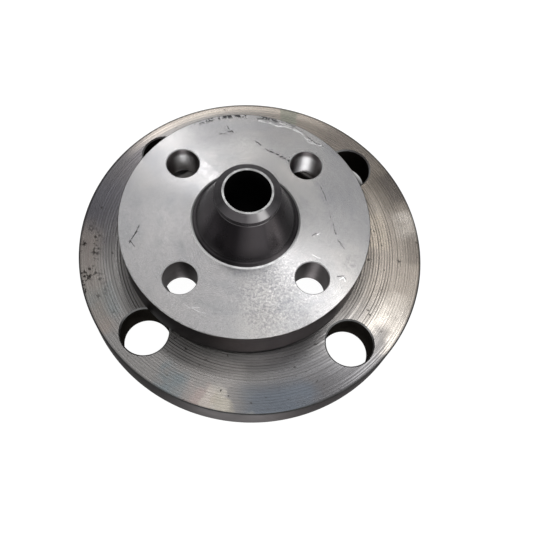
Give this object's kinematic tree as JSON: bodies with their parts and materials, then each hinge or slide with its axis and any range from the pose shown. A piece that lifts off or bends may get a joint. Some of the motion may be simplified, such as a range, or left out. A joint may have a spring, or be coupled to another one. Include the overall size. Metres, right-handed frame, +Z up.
{
  "type": "weld neck flange stack",
  "caption": "Small weld neck pipe flange with a tapered hub, lying loose on a larger drilled raised-face flange.",
  "frame": {"origin": "centre of the lower flange's underside, the face that the stack stands on", "axes": "+Z up along the lower flange's axis, towards the weld end of the upper flange; +X to the right and +Y to the back"},
  "size_m": [0.15, 0.15, 0.058],
  "materials": {
    "weld_neck_flange": "machined, satin",
    "lower_flange": "turned, with visible concentric grooves"
  },
  "bodies": {
    "lower_flange": {"lower_flange": "lower_flange"},
    "weld_neck_flange": {"weld_neck_flange": "weld_neck_flange"}
  },
  "joints": [
    {"name": "lift_off", "type": "slide", "parent": "lower_flange", "child": "weld_neck_flange", "axis": [0, 0, 1], "range_m": [0, 0.06]}
  ]
}
